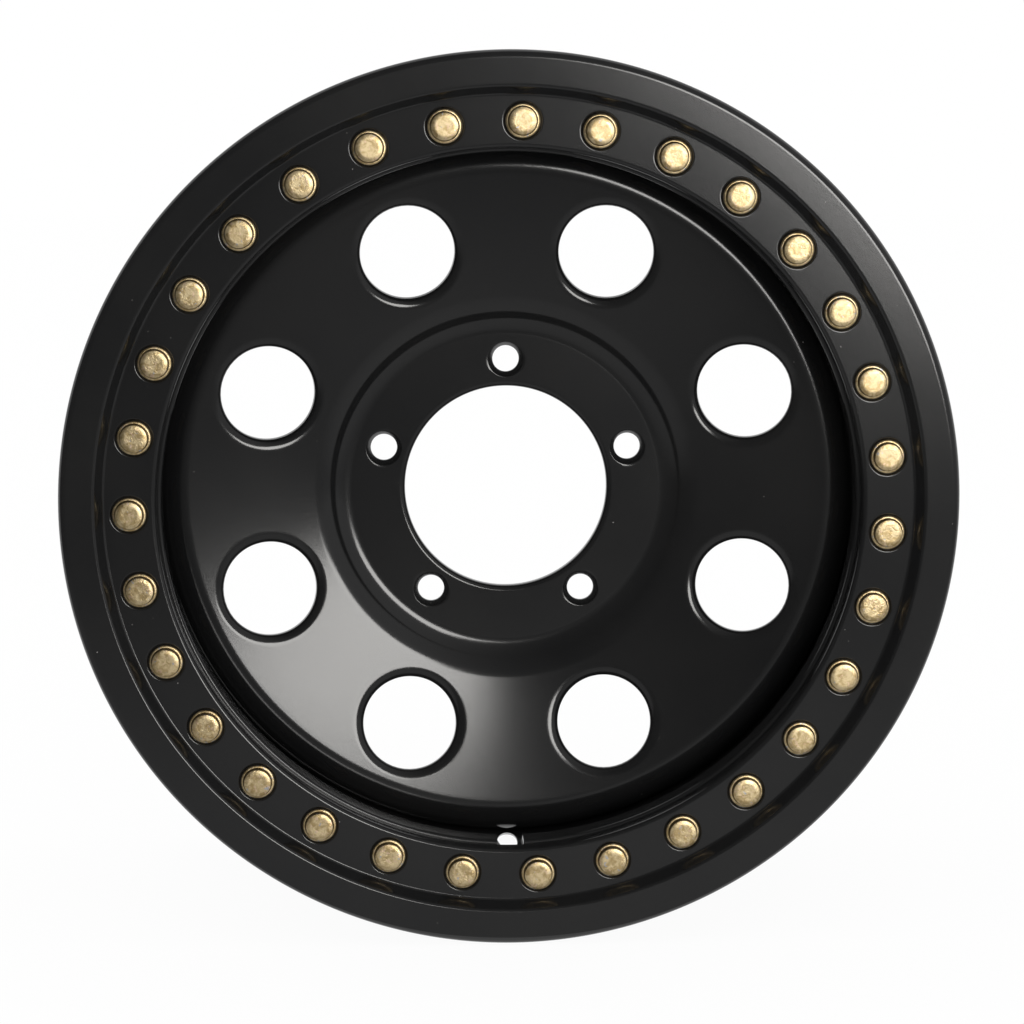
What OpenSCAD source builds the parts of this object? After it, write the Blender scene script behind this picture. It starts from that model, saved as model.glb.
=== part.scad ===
// Steel beadlock wheel, 17 inch, with a bolted clamp ring.
//
// The wheel is fabricated: a rolled barrel, a pressed centre disc with eight
// round windows, a stepped inner lock ring welded to the barrel's front edge,
// and a clamp ring that bolts to it and pinches the tyre's outer bead.
//
// Frame: +Y is the axle and points inboard, the face of the wheel looks
// along -Y, and +Z is up. The origin is the centre of the face that seats
// on the hub. Heights called h are measured forward from that face, and
// angles turn anticlockwise from +X as seen from the front.

/* [Rim] */
// Height of the rings' outer edge above the tyre's bead seat
seat_step = 16.7; // [14:0.1:20]
// Width between the two faces that hold the tyre's beads
rim_w = 215.9; // [190:0.1:245]
// Depth of the hub face behind the wheel's front face
hub_depth = 84.45; // [70:0.05:100]
// Height of the inboard flange above its bead seat
flange_rise = 17.3; // [15:0.1:19]
// Depth of the drop centre below the bead seat
well_depth = 24.5; // [22:0.1:27]
// Length of the drop centre along the axle
well_l = 82; // [70:1:90]
// Thickness of the rolled barrel
barrel_t = 3.8; // [3:0.1:5]
// Diameter of the hole for the tyre valve
valve_hole_d = 11.3; // [8:0.1:13]

/* [Centre disc] */
// Thickness of the pressed disc
disc_t = 6.5; // [5:0.1:8]
// Diameter of the hub bore
bore_d = 110.1; // [100:0.1:116]
// Rounding of the bore's front edge
bore_edge_r = 3; // [1:0.1:4]
// Diameter of the hub pad, at the foot of the wall round it
pad_d = 181; // [176:1:186]
// Rise of that wall from the hub pad to the dished face
pad_sink = 9.3; // [6:0.1:12]
// Distance that the wall runs outward on its way up
pad_wall_run = 12; // [8:0.5:15]
// Slope of the dished face, which is a plain cone
dish_angle = 10.5; // [6:0.5:14]
// Bend radius at the disc's outer shoulder, on its front
shoulder_r = 16; // [12:0.5:20]
// Length of the flange that fits inside the barrel
disc_flange_l = 27; // [20:1:34]

/* [Windows] */
// Number of round windows
window_count = 8; // [6:1:8]
// Width of the dished face between the pad's wall and the windows
window_in_land = 10.5; // [8:0.1:16]
// Width from the windows out to the middle of the disc's flange
window_out_land = 22.9; // [18:0.1:26]
// Width of the rounded edge round each window
window_edge = 3.4; // [1:0.1:4]

/* [Hub fixing] */
// Number of wheel studs
lug_count = 5; // [5:1:6]
// Diameter of the stud circle
lug_pcd = 139.7; // [134:0.1:144]
// Diameter of a stud hole
lug_hole_d = 14.4; // [12:0.1:15]
// Diameter of the conical nut seat at the front
lug_seat_d = 19.2; // [17:0.1:20]
// Whole angle of the conical nut seat
lug_seat_angle = 60; // [60:5:90]

/* [Clamp ring] */
// Outer diameter of the clamp ring and of the inner lock ring's flange
ring_od = 470; // [464:1:478]
// Width of the clamp ring from its bore to its outer edge
clamp_w = 50; // [47:0.1:53]
// Thickness of the clamp ring's outer land
land_t = 9.5; // [8:0.1:12]
// Depth of the bolt face below the outer land
step_h = 8; // [5:0.1:9]
// Thickness of the clamp ring at its bolts
bolt_face_t = 10; // [8:0.1:13]
// Distance of the step's foot, where the bolt face ends, from the outer edge
step_foot_w = 22.5; // [20:0.1:25]
// Slope of the step, measured out from its foot
step_run = 3.9; // [2:0.1:5]
// Rounding of the clamp ring's outer edge
outer_edge_r = 4; // [2:0.1:4.5]
// Rounding of the clamp ring's inner edge
inner_edge_r = 2.4; // [1:0.1:3]

/* [Inner lock ring] */
// Distance that the inner lock ring's bore stands in past the clamp ring's
lock_bore_step = 2; // [1:0.1:3.5]
// Thickness of its bolted web and of its inner lip
lock_web_t = 8; // [6:0.1:9]
// Depth of the lip at its bore
lock_lip_l = 15.5; // [12:0.5:18]
// Thickness of its outer flange
lock_flange_t = 7; // [5:0.1:9]
// Room for the tyre's bead between the two rings
bead_gap = 19; // [17:0.5:22]
// Clearance of the bead register below the bead seat diameter
register_gap = 2; // [1:0.1:3]
// Width of the notch that lets the valve stem pass
valve_notch_w = 14; // [12:0.5:16]
// Depth of the valve notch beyond the ring's bore
valve_notch_l = 8; // [6:0.5:8.5]

/* [Clamp bolts] */
// Number of clamp bolts
bolt_count = 31; // [24:1:32]
// Distance of the bolt circle from the clamp ring's outer edge
bolt_inset = 36.1; // [35:0.1:37]
// Angle of the first bolt
bolt_start = 7; // [0:0.1:11]
// Diameter of a bolt's shank
bolt_d = 7.94; // [7:0.01:8.4]
// Length of a bolt that stands out of its nut
bolt_stick_out = 0.6; // [0:0.1:3]
// Diameter of the round bolt head
head_d = 14.3; // [13:0.1:15]
// Height of the round bolt head
head_h = 4.6; // [3:0.1:6]
// Rounding of the head's upper edge
head_edge_r = 1.2; // [0.4:0.1:1.8]
// Outer diameter of a washer
washer_d = 17.5; // [16:0.1:18.5]
// Thickness of a washer
washer_t = 1.6; // [1:0.1:2]
// Diameter of a bolt hole in the rings and the washers
bolt_hole_d = 8.7; // [8.5:0.1:9.2]
// Diameter of the round pocket that a washer sits in
pocket_d = 20.4; // [19:0.1:21]
// Depth of that pocket
pocket_h = 1.2; // [0.4:0.1:1.6]
// Width across a lock nut's flats
nut_af = 12.7; // [12:0.1:13.5]
// Height of a lock nut, its round collar included
nut_h = 8; // [6:0.1:9]

/* [Welds] */
// Leg of the weld between the lock ring and the barrel
ring_weld_leg = 5; // [3:0.1:6]
// Leg of the stitches that hold the disc in the barrel
disc_weld_leg = 5; // [3:0.1:6]
// Number of stitches
stitch_count = 8; // [6:1:8]
// Angle that one stitch spans
stitch_angle = 26; // [15:1:35]

/* [Hidden] */

$fn = 96;
fit_gap = 0.05;
cut = 1;
arc_steps = 6;

// Heights of the faces, forward from the hub face
land_front_h = hub_depth;
outboard_bead_h = land_front_h - land_t;
inboard_bead_h = outboard_bead_h - rim_w;
bolt_face_h = land_front_h - step_h;
ring_joint_h = bolt_face_h - bolt_face_t;
pocket_floor_h = bolt_face_h - pocket_h;
lock_flange_front_h = outboard_bead_h - bead_gap;
lock_back_h = lock_flange_front_h - lock_flange_t;
web_back_h = ring_joint_h - lock_web_t;
bolt_seat_h = pocket_floor_h + washer_t;
bolt_l = bolt_seat_h - web_back_h + washer_t + nut_h + bolt_stick_out;

// Radii that several pieces share
ring_r = ring_od / 2;
bolt_circle_r = ring_r - bolt_inset;
clamp_bore_r = ring_r - clamp_w;
lock_bore_r = clamp_bore_r - lock_bore_step;
step_foot_r = ring_r - step_foot_w;
seat_r = ring_r - seat_step;
register_r = seat_r - register_gap / 2;
well_in_r = seat_r - well_depth - barrel_t;
barrel_front_r = register_r - barrel_t / 2;
valve_angle = 270;

// Middle line of the barrel's wall, from its front edge to the rear flange
well_bend_r = 8;
well_wall_rise = 10;
well_front_h = lock_back_h - 31.5;
well_rear_h = well_front_h - well_l;
front_mid_r = barrel_front_r - barrel_t / 2;
well_mid_r = well_in_r + barrel_t / 2;
ledge_mid_r = seat_r - 1.6 - barrel_t / 2;
seat_mid_r = seat_r - barrel_t / 2;
flange_mid_h = inboard_bead_h - barrel_t / 2;
flange_mid_r = seat_r + flange_rise - barrel_t / 2;
flange_curl_l = 10.8;
rear_wall_run = 20;

barrel_line = [
    [front_mid_r, lock_back_h, 0],
    [front_mid_r, well_front_h + well_wall_rise, well_bend_r],
    [well_mid_r, well_front_h, well_bend_r],
    [well_mid_r, well_rear_h, well_bend_r],
    [ledge_mid_r, well_rear_h - rear_wall_run, well_bend_r],
    [seat_mid_r, flange_mid_h, 6.5 + barrel_t / 2],
    [flange_mid_r, flange_mid_h, 9],
    [flange_mid_r, flange_mid_h - flange_curl_l, 0]];

// Middle line of the pressed disc, from the hub bore to its outer flange
disc_out_r = well_in_r - fit_gap;
disc_mid_r = disc_out_r - disc_t / 2;
pad_mid_h = disc_t / 2;
pad_bend_r = 7;
dish_in_r = pad_d / 2 + pad_wall_run;
function dish_mid_h(r) = pad_mid_h + pad_sink + (r - dish_in_r) * tan(dish_angle);
shoulder_h = dish_mid_h(disc_mid_r);
flange_end_h = shoulder_h - shoulder_r - disc_flange_l;
window_d = disc_mid_r - window_out_land - (dish_in_r + window_in_land);
window_circle_r = dish_in_r + window_in_land + window_d / 2;

disc_line = [
    [bore_d / 2 + bore_edge_r, pad_mid_h, 0],
    [pad_d / 2, pad_mid_h, pad_bend_r],
    [dish_in_r, dish_mid_h(dish_in_r), pad_bend_r],
    [disc_mid_r, shoulder_h, shoulder_r - disc_t / 2],
    [disc_mid_r, flange_end_h, 0]];

// Turns a shape that is revolved about Z so that its top faces the front
module on_axle() {
    rotate([90, 0, 0])
        children();
}

// Puts copies round the axle
module round_axle(count, start, radius) {
    for (i = [0:count - 1])
        rotate([0, 0, start + i * 360 / count])
            translate([radius, 0, 0])
                children();
}

function unit(v) = v / norm(v);
function left_of(v) = [-v[1], v[0]];
function turned(v, a) = [v[0] * cos(a) - v[1] * sin(a), v[0] * sin(a) + v[1] * cos(a)];
function flat(p) = [p[0], p[1]];

// Points and left-hand normals of the bend at corner q between p and s
function bend(p, q, s, r) =
    let (
        u = unit(flat(q) - flat(p)),
        v = unit(flat(s) - flat(q)),
        a = atan2(u[0] * v[1] - u[1] * v[0], u * v),
        side = sign(a),
        steps = max(2, ceil(arc_steps * abs(a) / 60)),
        centre = flat(q) - u * r * tan(abs(a) / 2) + left_of(u) * r * side)
    [for (i = [0:steps])
        let (d = turned(u, a * i / steps))
        [centre - left_of(d) * r * side, left_of(d)]];

// A line of straight runs with a round bend at each inner corner
function bent_line(line) =
    let (
        last = len(line) - 1,
        first_n = left_of(unit(flat(line[1]) - flat(line[0]))),
        last_n = left_of(unit(flat(line[last]) - flat(line[last - 1]))))
    concat(
        [[flat(line[0]), first_n]],
        [for (i = [1:last - 1]) each bend(line[i - 1], line[i], line[i + 1], line[i][2])],
        [[flat(line[last]), last_n]]);

// One side of a wall of thickness t about a bent line
function wall_side(bent, t) = [for (p = bent) p[0] + p[1] * t / 2];
function reversed(list) = [for (i = [len(list) - 1:-1:0]) list[i]];
function wall(bent, t) = concat(wall_side(bent, t), reversed(wall_side(bent, -t)));

// Points of an arc about c
function arc(c, r, from, to) =
    [for (i = [0:arc_steps])
        let (a = from + (to - from) * i / arc_steps)
        c + r * [cos(a), sin(a)]];

// Section of the clamp ring, with a raised outer land and a stepped back
land_edge_r = 2;
pocket_rim = 0.5;
clamp_back_r = register_r + fit_gap;
clamp_section = concat(
    arc([clamp_bore_r + inner_edge_r, bolt_face_h - inner_edge_r], inner_edge_r, 180, 90),
    arc([step_foot_r - 1.2, bolt_face_h + 1.6], 1.6, 270, 330),
    arc([step_foot_r + step_run + 1.2, land_front_h - land_edge_r], land_edge_r, 150, 90),
    arc([ring_r - outer_edge_r, land_front_h - outer_edge_r], outer_edge_r, 90, 0),
    [[ring_r, outboard_bead_h + 1],
        [ring_r - 1, outboard_bead_h],
        [clamp_back_r + 2, outboard_bead_h],
        [clamp_back_r, outboard_bead_h - 2],
        [clamp_back_r, ring_joint_h],
        [clamp_bore_r + 0.8, ring_joint_h],
        [clamp_bore_r, ring_joint_h + 0.8]]);

module clamp_ring() {
    color([0.07, 0.07, 0.07])
        on_axle()
            difference() {
                rotate_extrude()
                    polygon(clamp_section);
                round_axle(bolt_count, bolt_start, bolt_circle_r) {
                    translate([0, 0, ring_joint_h - cut])
                        cylinder(h = bolt_face_t + 2 * cut, d = bolt_hole_d);
                    translate([0, 0, pocket_floor_h])
                        cylinder(h = pocket_h + cut, d = pocket_d);
                    translate([0, 0, bolt_face_h - pocket_rim])
                        cylinder(h = 2 * pocket_rim, d1 = pocket_d, d2 = pocket_d + 4 * pocket_rim);
                }
            }
}

// Section of the inner lock ring: lip, bolted web, bead register and flange
lip_edge_r = 1.5;
web_fillet = 1;
lip_end_h = ring_joint_h - lock_lip_l;
lip_out_r = lock_bore_r + lock_web_t * 0.75;
wall_in_r = register_r - lock_web_t;
lock_section = concat(
    arc([lock_bore_r + lip_edge_r, lip_end_h + lip_edge_r], lip_edge_r, 270, 180),
    arc([lock_bore_r + lip_edge_r, ring_joint_h - lip_edge_r], lip_edge_r, 180, 90),
    arc([register_r - 1, ring_joint_h - 1], 1, 90, 0),
    arc([register_r + 2, lock_flange_front_h + 2], 2, 180, 270),
    arc([ring_r - 1.5, lock_flange_front_h - 1.5], 1.5, 90, 0),
    [[ring_r, lock_back_h + 1],
        [ring_r - 1, lock_back_h],
        [wall_in_r, lock_back_h],
        [wall_in_r, web_back_h - web_fillet],
        [wall_in_r - web_fillet, web_back_h],
        [lip_out_r + web_fillet, web_back_h],
        [lip_out_r, web_back_h - web_fillet],
        [lip_out_r, lip_end_h]]);

module inner_lock_ring() {
    notch_r = valve_notch_w / 2;
    notch_end_r = lock_bore_r + valve_notch_l;
    color([0.09, 0.09, 0.09])
        on_axle()
            difference() {
                rotate_extrude()
                    polygon(lock_section);
                round_axle(bolt_count, bolt_start, bolt_circle_r)
                    translate([0, 0, web_back_h - cut])
                        cylinder(h = lock_web_t + 2 * cut, d = bolt_hole_d);
                rotate([0, 0, valve_angle])
                    translate([notch_end_r - notch_r, 0, lip_end_h - cut]) {
                        cylinder(h = lock_lip_l + 2 * cut, r = notch_r);
                        translate([-2 * notch_r, -notch_r, 0])
                            cube([2 * notch_r, 2 * notch_r, lock_lip_l + 2 * cut]);
                    }
            }
}

// The valve hole is square to the well's front wall, near its inner end
well_wall_angle = atan2(well_wall_rise, front_mid_r - well_mid_r);
valve_r = well_mid_r + 7.2;
valve_h = well_front_h + (valve_r - well_mid_r) * tan(well_wall_angle);

module rim_barrel() {
    color([0.08, 0.08, 0.08])
        on_axle()
            difference() {
                rotate_extrude()
                    polygon(wall(bent_line(barrel_line), barrel_t));
                rotate([0, 0, valve_angle])
                    translate([valve_r, 0, valve_h])
                        rotate([0, -well_wall_angle, 0])
                            cylinder(h = 4 * barrel_t, d = valve_hole_d, center = true);
            }
}

// Section of the disc, closed at the bore with a rounded front edge
function disc_section() =
    let (
        bent = bent_line(disc_line),
        bore_r = bore_d / 2,
        edge = [bore_r + bore_edge_r, disc_t - bore_edge_r])
    concat(
        [[bore_r, 0]],
        arc(edge, bore_edge_r, 180, 90),
        [for (i = [1:len(bent) - 1]) bent[i][0] + bent[i][1] * disc_t / 2],
        reversed([for (i = [1:len(bent) - 1]) bent[i][0] - bent[i][1] * disc_t / 2]));

// What a punch with a rounded shoulder takes out of the dished face
module window_punch() {
    window_r = window_d / 2;
    reach = 2 * disc_t;
    lift = 0.3;
    edge = [window_r + window_edge, disc_t / 2 - window_edge + lift];
    rotate_extrude()
        polygon(concat(
            [[0, reach], [0, -reach], [window_r, -reach]],
            arc(edge, window_edge, 180, 90),
            [[window_r + window_edge + 2 * lift, disc_t / 2 + 2 * lift],
                [window_r + window_edge + 2 * lift, reach]]));
}

module centre_disc() {
    lug_r = lug_pcd / 2;
    seat_depth = (lug_seat_d - lug_hole_d) / 2 / tan(lug_seat_angle / 2);
    seat_slope = (lug_seat_d - lug_hole_d) / 2 / seat_depth;
    color([0.10, 0.10, 0.10])
        on_axle()
            difference() {
                rotate_extrude()
                    polygon(disc_section());
                round_axle(window_count, 180 / window_count, window_circle_r)
                    translate([0, 0, dish_mid_h(window_circle_r)])
                        rotate([0, -dish_angle, 0])
                            window_punch();
                round_axle(lug_count, 90, lug_r) {
                    translate([0, 0, -cut])
                        cylinder(h = disc_t + 2 * cut, d = lug_hole_d);
                    translate([0, 0, disc_t - seat_depth])
                        cylinder(h = seat_depth + cut,
                            d1 = lug_hole_d,
                            d2 = lug_seat_d + 2 * cut * seat_slope);
                }
            }
}

// Round-headed bolt with its head's underside at height 0
module clamp_bolt() {
    head_r = head_d / 2;
    shank_r = bolt_d / 2;
    tip = 1;
    rotate_extrude()
        polygon(concat(
            [[0, -bolt_l],
                [shank_r - tip, -bolt_l],
                [shank_r, tip - bolt_l],
                [shank_r, 0],
                [head_r, 0]],
            arc([head_r - head_edge_r, head_h - head_edge_r], head_edge_r, 0, 90),
            [[0, head_h]]));
}

module clamp_bolts() {
    color([0.75, 0.65, 0.42])
        on_axle()
            round_axle(bolt_count, bolt_start, bolt_circle_r)
                translate([0, 0, bolt_seat_h])
                    clamp_bolt();
}

module washer() {
    difference() {
        cylinder(h = washer_t, d = washer_d);
        translate([0, 0, -cut])
            cylinder(h = washer_t + 2 * cut, d = bolt_hole_d);
    }
}

module bolt_washers() {
    color([0.80, 0.69, 0.43])
        on_axle()
            round_axle(bolt_count, bolt_start, bolt_circle_r)
                translate([0, 0, pocket_floor_h])
                    washer();
}

module nut_washers() {
    color([0.72, 0.62, 0.40])
        on_axle()
            round_axle(bolt_count, bolt_start, bolt_circle_r)
                translate([0, 0, web_back_h - washer_t])
                    washer();
}

// Hexagon lock nut with a round collar at its rear
module lock_nut() {
    hex_h = nut_h * 0.78;
    corner_d = nut_af / cos(30);
    difference() {
        union() {
            translate([0, 0, -hex_h])
                cylinder(h = hex_h, d = corner_d, $fn = 6);
            translate([0, 0, -nut_h])
                cylinder(h = nut_h - hex_h, d1 = nut_af - 2, d2 = nut_af - 0.6);
        }
        translate([0, 0, -nut_h - cut])
            cylinder(h = nut_h + 2 * cut, d = bolt_d + 2 * fit_gap);
    }
}

module lock_nuts() {
    color([0.68, 0.60, 0.42])
        on_axle()
            round_axle(bolt_count, bolt_start, bolt_circle_r)
                translate([0, 0, web_back_h - washer_t])
                    lock_nut();
}

// Fillet weld behind the lock ring's flange, round the barrel
module ring_weld() {
    root_r = barrel_front_r + fit_gap;
    color([0.10, 0.10, 0.10])
        on_axle()
            rotate_extrude()
                polygon([
                    [root_r, lock_back_h],
                    [root_r, lock_back_h - ring_weld_leg],
                    [root_r + ring_weld_leg * 0.6, lock_back_h - ring_weld_leg * 0.6],
                    [root_r + ring_weld_leg, lock_back_h]]);
}

// Stitches between the disc's rear edge and the inside of the barrel
module disc_welds() {
    root_r = disc_out_r;
    color([0.10, 0.10, 0.10])
        on_axle()
            for (i = [0:stitch_count - 1])
                rotate([0, 0, (i + 0.5) * 360 / stitch_count - stitch_angle / 2])
                    rotate_extrude(angle = stitch_angle)
                        polygon([
                            [root_r, flange_end_h],
                            [root_r - disc_weld_leg, flange_end_h],
                            [root_r - disc_weld_leg * 0.4, flange_end_h - disc_weld_leg * 0.6],
                            [root_r, flange_end_h - disc_weld_leg]]);
}

clamp_ring();
inner_lock_ring();
rim_barrel();
centre_disc();
clamp_bolts();
bolt_washers();
nut_washers();
lock_nuts();
ring_weld();
disc_welds();
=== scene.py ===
# %% [markdown]
# # A steel beadlock wheel, seen from its face
#
# The wheel is a welded steel rim for off-road use. A flat outer ring is held
# by thirty-one bolts and pinches the tyre's outer bead against a second ring
# behind it. The whole of it is black powder coat, and only the bolts shine.
#
# The CAD model already gives each piece its place and size, so nothing is
# placed by eye here. Most pieces are turned shapes. A lathe function makes
# them from the same sections as the CAD, with finer edges, because it is the
# soft light along an edge that makes a black object readable.

# %% Load the CAD frame
import math
import random

import bmesh
import bpy
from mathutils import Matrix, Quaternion, Vector


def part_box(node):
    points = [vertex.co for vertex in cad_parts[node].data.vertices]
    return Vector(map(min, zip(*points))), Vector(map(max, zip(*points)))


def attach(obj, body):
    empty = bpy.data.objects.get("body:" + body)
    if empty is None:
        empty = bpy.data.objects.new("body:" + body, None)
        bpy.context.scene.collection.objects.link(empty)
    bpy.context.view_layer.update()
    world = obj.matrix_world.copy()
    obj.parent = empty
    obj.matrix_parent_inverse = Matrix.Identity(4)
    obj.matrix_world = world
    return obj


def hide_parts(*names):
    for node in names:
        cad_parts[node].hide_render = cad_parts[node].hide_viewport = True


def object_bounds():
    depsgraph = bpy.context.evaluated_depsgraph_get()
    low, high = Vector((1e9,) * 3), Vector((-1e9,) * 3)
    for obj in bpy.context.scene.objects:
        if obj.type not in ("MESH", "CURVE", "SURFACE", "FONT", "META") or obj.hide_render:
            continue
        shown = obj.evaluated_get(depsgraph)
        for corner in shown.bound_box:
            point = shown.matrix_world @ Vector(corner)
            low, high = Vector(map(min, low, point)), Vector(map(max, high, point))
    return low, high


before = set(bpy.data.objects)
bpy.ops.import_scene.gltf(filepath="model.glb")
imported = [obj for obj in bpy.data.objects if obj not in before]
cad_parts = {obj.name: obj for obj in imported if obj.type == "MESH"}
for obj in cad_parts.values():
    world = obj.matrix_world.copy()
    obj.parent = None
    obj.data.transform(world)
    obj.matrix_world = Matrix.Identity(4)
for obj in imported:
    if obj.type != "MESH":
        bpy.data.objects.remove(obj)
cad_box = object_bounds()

print("CAD nodes:", sorted(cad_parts))

# %% [markdown]
# ## How points are counted
#
# Sections are drawn as (r, h) pairs in millimetres: r is the distance from the
# axle, and h the height in front of the face that seats on the hub. The axle is
# the Y axis and the wheel's face looks along -Y, so h is -Y. Angles turn
# anticlockwise from +X as seen from the front.

# %% Read sizes off the frame
MM = 0.001


def reach(node):
    """Back, front and outer radius of a CAD node, in millimetres."""
    low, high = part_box(node)
    return -high.y / MM, -low.y / MM, high.x / MM


joint_h, front_h, ring_r = reach("clamp_ring")
lock_back_h = reach("inner_lock_ring")[0]
rear_h = reach("rim_barrel")[0]
disc_end_h, _, disc_out_r = reach("centre_disc")
floor_h, washer_front_h, _ = reach("bolt_washers")
tip_h, head_front_h, _ = reach("clamp_bolts")
nut_end_h, nut_front_h, _ = reach("lock_nuts")
print(f"ring radius {ring_r:.2f}, front {front_h:.2f}, joint {joint_h:.2f}, rear {rear_h:.2f}")

# %% [markdown]
# ## From corners to a soft outline
#
# A pressed or turned edge is never quite sharp. A Bevel modifier could round
# edges after the mesh is made, but it rounds all of them alike and struggles
# beside a hole. Here each corner of a section has a radius of its own, and the
# outline is rounded before it is turned. Short support steps beside each arc
# keep the wide flat faces flat when the mesh is shaded smooth.

# %% Rounded outlines
ARC_STEP = math.radians(11)
STRAIGHT = 1e-4
SUPPORT = 0.35


def corner_arc(before, corner, after, radius):
    """Points of the arc that replaces one corner of a section."""
    p, q, s = Vector(before[:2]), Vector(corner[:2]), Vector(after[:2])
    u, v = (q - p).normalized(), (s - q).normalized()
    turn = math.atan2(u.x * v.y - u.y * v.x, u.dot(v))
    if radius <= 0 or abs(turn) < STRAIGHT:
        return [q]
    side = math.copysign(1, turn)
    centre = q - u * radius * math.tan(abs(turn) / 2) + Vector((-u.y, u.x)) * radius * side
    steps = max(2, math.ceil(abs(turn) / ARC_STEP))
    arm = Vector((u.y, -u.x)) * radius * side
    points = []
    for i in range(steps + 1):
        a = turn * i / steps
        points.append(centre + Vector((arm.x * math.cos(a) - arm.y * math.sin(a),
                                       arm.x * math.sin(a) + arm.y * math.cos(a))))
    return points


def outline(corners):
    """An open outline from (r, h, radius) corners, with arcs and support steps."""
    pieces = [[Vector(corners[0][:2])]]
    for i in range(1, len(corners) - 1):
        pieces.append(corner_arc(corners[i - 1], corners[i], corners[i + 1], corners[i][2]))
    pieces.append([Vector(corners[-1][:2])])
    points = list(pieces[0])
    for one, two in zip(pieces, pieces[1:]):
        run = two[0] - one[-1]
        if run.length > 4 * SUPPORT:
            points += [one[-1] + run.normalized() * SUPPORT, two[0] - run.normalized() * SUPPORT]
        points += two
    return [tuple(p) for p in points]


print("a right angle of 2 mm radius takes", len(corner_arc((0, 0), (9, 0), (9, 9), 2)), "points")

# %% [markdown]
# ## One way to build every surface
#
# Each surface here is a grid: rows of points with faces between them. A turned
# ring is a grid of section points by angles. A plate with a round hole is a
# grid as well: its rows start as circles in the hole and spread until they
# meet the edges of their own sector. A Boolean would cut holes with less
# thought, but leaves long thin faces that shade badly beside a rounded edge.

# %% A shell that collects grids
SHARP = math.radians(38)
WELD_GAP, SLIVER = 0.002 * MM, 0.001 * MM


class Shell:
    """Gathers grids in millimetres, then welds them into one smooth piece."""

    def __init__(self):
        self.points, self.faces = [], []

    def grid(self, rows, wrap=True):
        start, width = len(self.points), len(rows[0])
        for row in rows:
            self.points += row
        for i in range(len(rows) - 1):
            for j in range(width if wrap else width - 1):
                a, b = start + i * width + j, start + i * width + (j + 1) % width
                self.faces.append((a, b, b + width, a + width))

    def cap(self, row):
        start = len(self.points)
        self.points += row
        self.faces.append(tuple(range(start, start + len(row))))

    def piece(self, name, sharp=SHARP):
        mesh = bpy.data.meshes.new(name)
        mesh.from_pydata([(x * MM, y * MM, z * MM) for x, y, z in self.points], [], self.faces)
        bm = bmesh.new()
        bm.from_mesh(mesh)
        bmesh.ops.remove_doubles(bm, verts=bm.verts, dist=WELD_GAP)
        bmesh.ops.dissolve_degenerate(bm, edges=bm.edges, dist=SLIVER)
        bmesh.ops.recalc_face_normals(bm, faces=bm.faces)
        loose = sum(1 for e in bm.edges if not e.is_manifold)
        bm.to_mesh(mesh)
        bm.free()
        mesh.polygons.foreach_set("use_smooth", [True] * len(mesh.polygons))
        mesh.set_sharp_from_angle(angle=sharp)
        made = bpy.data.objects.new(name, mesh)
        bpy.context.scene.collection.objects.link(made)
        print(f"{name}: {len(mesh.polygons)} faces, {loose} open edges")
        return made


def place(r, h, angle):
    """A point of the wheel from its radius, height and angle."""
    return (r * math.cos(angle), -h, r * math.sin(angle))


def turned(shell, section, count, start=0.0):
    """Turns an open or closed section round the axle."""
    angles = [start + 2 * math.pi * j / count for j in range(count)]
    shell.grid([[place(r, h, a) for a in angles] for r, h in section])


# %% [markdown]
# ## Sectors with a hole in each
#
# The clamp ring repeats one sector thirty-one times and the disc repeats one
# eight times, so one function serves them both. It also follows a cone: the
# windows are punched square to the dished face, which leans by a few degrees,
# and the height of each point is read from the surface under it. The rows lie
# closest beside the hole, where the light changes fastest.

# %% Bands of holes
SPREAD = (0.04, 0.1, 0.2, 0.32, 0.46, 0.6, 0.74, 0.88)


def holed_band(shell, surface, r_in, r_out, middle, count, start, rings, across, along, tilt=0.0):
    """Fills the band from r_in to r_out, with a hole of (radius, depth) rings per sector."""
    half = math.pi / count
    edge = [(r_in + (r_out - r_in) * i / along, -half) for i in range(along)]
    edge += [(r_out, -half + 2 * half * i / across) for i in range(across)]
    edge += [(r_out + (r_in - r_out) * i / along, half) for i in range(along)]
    edge += [(r_in, half - 2 * half * i / across) for i in range(across)]
    plain = [(r * math.cos(t), r * math.sin(t)) for r, t in edge]
    bearings = [math.atan2(y, (x - middle) / math.cos(tilt)) for x, y in plain]
    rows = []
    for radius, depth in rings:
        rows.append([(middle + depth * math.sin(tilt) + radius * math.cos(b) * math.cos(tilt),
                      radius * math.sin(b), depth / math.cos(tilt)) for b in bearings])
    rim, sunk = rows[-1], rings[-1][1] / math.cos(tilt)
    for share in SPREAD:
        rows.append([(x + (ex - x) * share, y + (ey - y) * share, sunk)
                     for (x, y, _), (ex, ey) in zip(rim, plain)])
    for k in range(count):
        turn = start + 2 * half * k
        c, s = math.cos(turn), math.sin(turn)
        made = [[(x * c - y * s, -(surface(math.hypot(x, y)) - d), x * s + y * c)
                 for x, y, d in row] for row in rows]
        made.append([place(r, surface(r) - sunk, turn + t) for r, t in edge])
        shell.grid(made)


def soft_rim(radius, width, steps=6, depth=None):
    """Rings of the rounded edge of a hole, from its wall up to the face."""
    angles = [math.pi / 2 * i / steps for i in range(steps + 1)]
    return [(radius + width * (1 - math.cos(a)), (depth or width) * (1 - math.sin(a)))
            for a in angles]


# %% [markdown]
# ## The clamp ring
#
# The real ring is cut from plate and turned: a raised outer land, a sloping
# step, and a lower face with a shallow round pocket at each bolt. The pocket's
# rim is softened by the powder coat and shows as a thin bright arc at its lower
# left. The section is split at the two faces that carry holes.

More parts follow.
